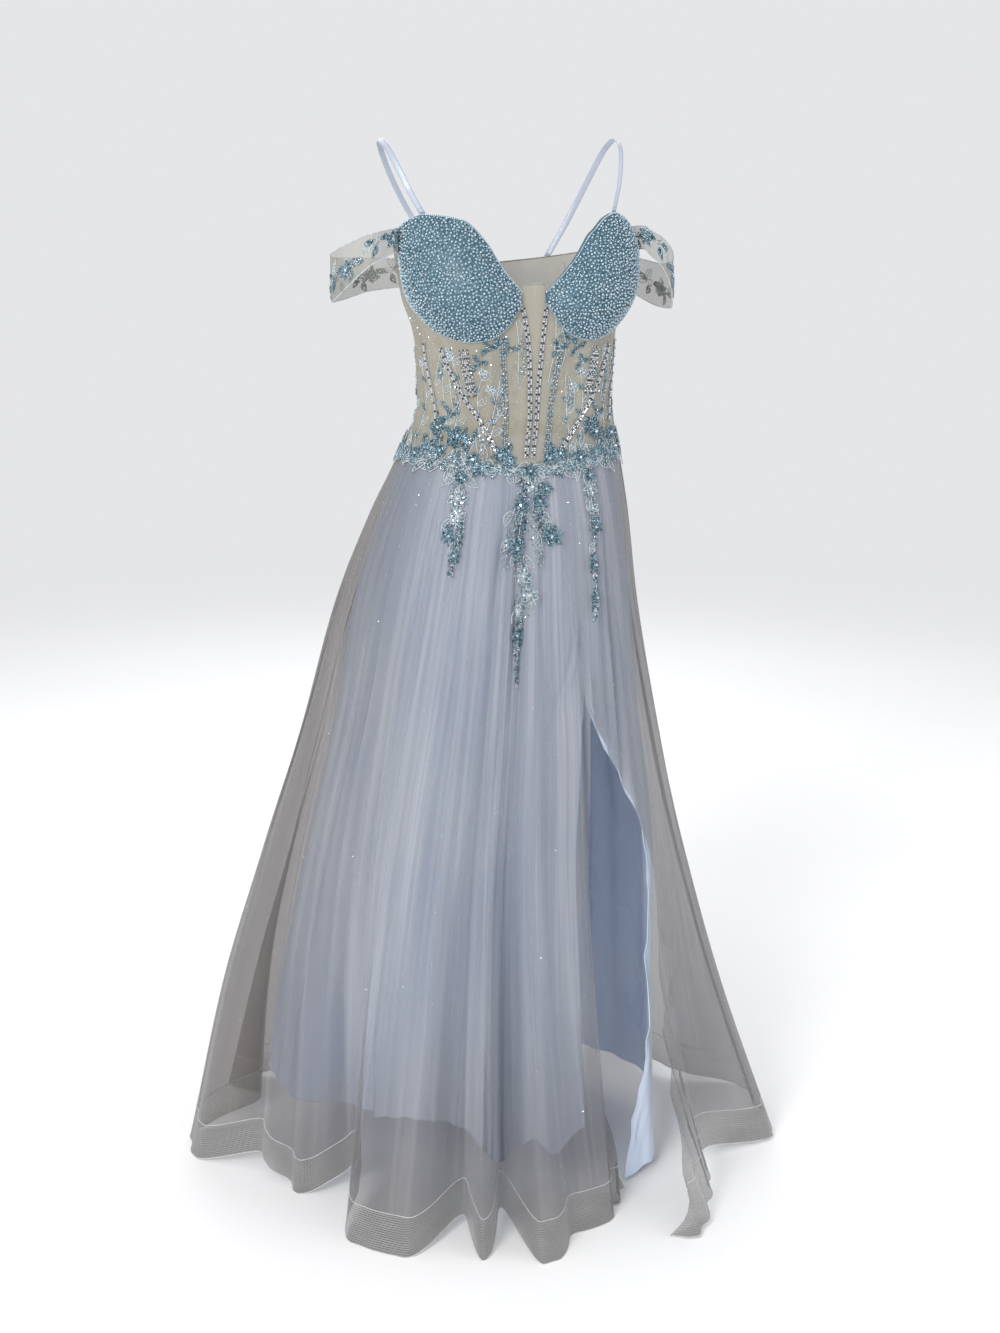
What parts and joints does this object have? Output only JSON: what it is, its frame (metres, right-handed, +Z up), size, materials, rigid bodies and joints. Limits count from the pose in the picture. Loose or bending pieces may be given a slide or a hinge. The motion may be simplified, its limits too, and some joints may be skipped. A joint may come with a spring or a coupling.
{
  "type": "a-line tulle gown",
  "caption": "Floor-length a-line gown with a sheer corset bodice, beaded cups, off-the-shoulder bands, a satin lining and a tulle overlay with a slit.",
  "frame": {"origin": "midway between the undersides of the two straps at their highest points, where the gown hangs on the wearer's shoulders", "axes": "+Z up, the front faces -Y, +X towards the wearer's left; the floor is at z = -1.390"},
  "size_m": [0.848, 0.7856, 1.3936],
  "materials": {
    "corset_mesh": "sheer matte net",
    "beaded_cloth": "net covered with pearls and sequins",
    "crystal_trim": "cut stones in metal cups",
    "satin": "smooth satin",
    "tulle": "sheer soft net",
    "hem_braid": "stiff sheer braid",
    "beaded_lace": "lace with beads and sequins",
    "zip_tape": "woven tape",
    "zip_metal": "polished"
  },
  "bodies": {
    "gown": {"centre_front": "corset_mesh", "front_right": "corset_mesh", "front_left": "corset_mesh", "side_front_right": "corset_mesh", "side_front_left": "corset_mesh", "back_right": "corset_mesh", "back_left": "corset_mesh", "sleeve_right": "corset_mesh", "sleeve_left": "corset_mesh", "cup_right": "beaded_cloth", "cup_left": "beaded_cloth", "centre_bone_right": "crystal_trim", "centre_bone_left": "crystal_trim", "slant_bone_right": "crystal_trim", "slant_bone_left": "crystal_trim", "short_bone_right": "crystal_trim", "short_bone_left": "crystal_trim", "side_bone_right": "crystal_trim", "side_bone_left": "crystal_trim", "strap_right": "satin", "strap_left": "satin", "lining_front": "satin", "lining_left": "satin", "lining_back_left": "satin", "lining_back_right": "satin", "tulle_front": "tulle", "tulle_left": "tulle", "tulle_back_left": "tulle", "tulle_back_right": "tulle", "braid_front": "hem_braid", "braid_left": "hem_braid", "braid_back_left": "hem_braid", "braid_back_right": "hem_braid", "waist_lace_front": "beaded_lace", "waist_lace_right": "beaded_lace", "waist_lace_left": "beaded_lace", "spray_centre": "beaded_lace", "spray_right": "beaded_lace", "spray_left": "beaded_lace", "zip_tape": "zip_tape", "zip_slider": "zip_metal"},
    "zip_pull": {"zip_pull": "zip_metal"}
  },
  "joints": [
    {"name": "pull_hinge", "type": "hinge", "parent": "gown", "child": "zip_pull", "pos_m": [0.01734, 0.09957, -0.168], "axis": [1, 0, 0], "range_deg": [0, 150]}
  ]
}
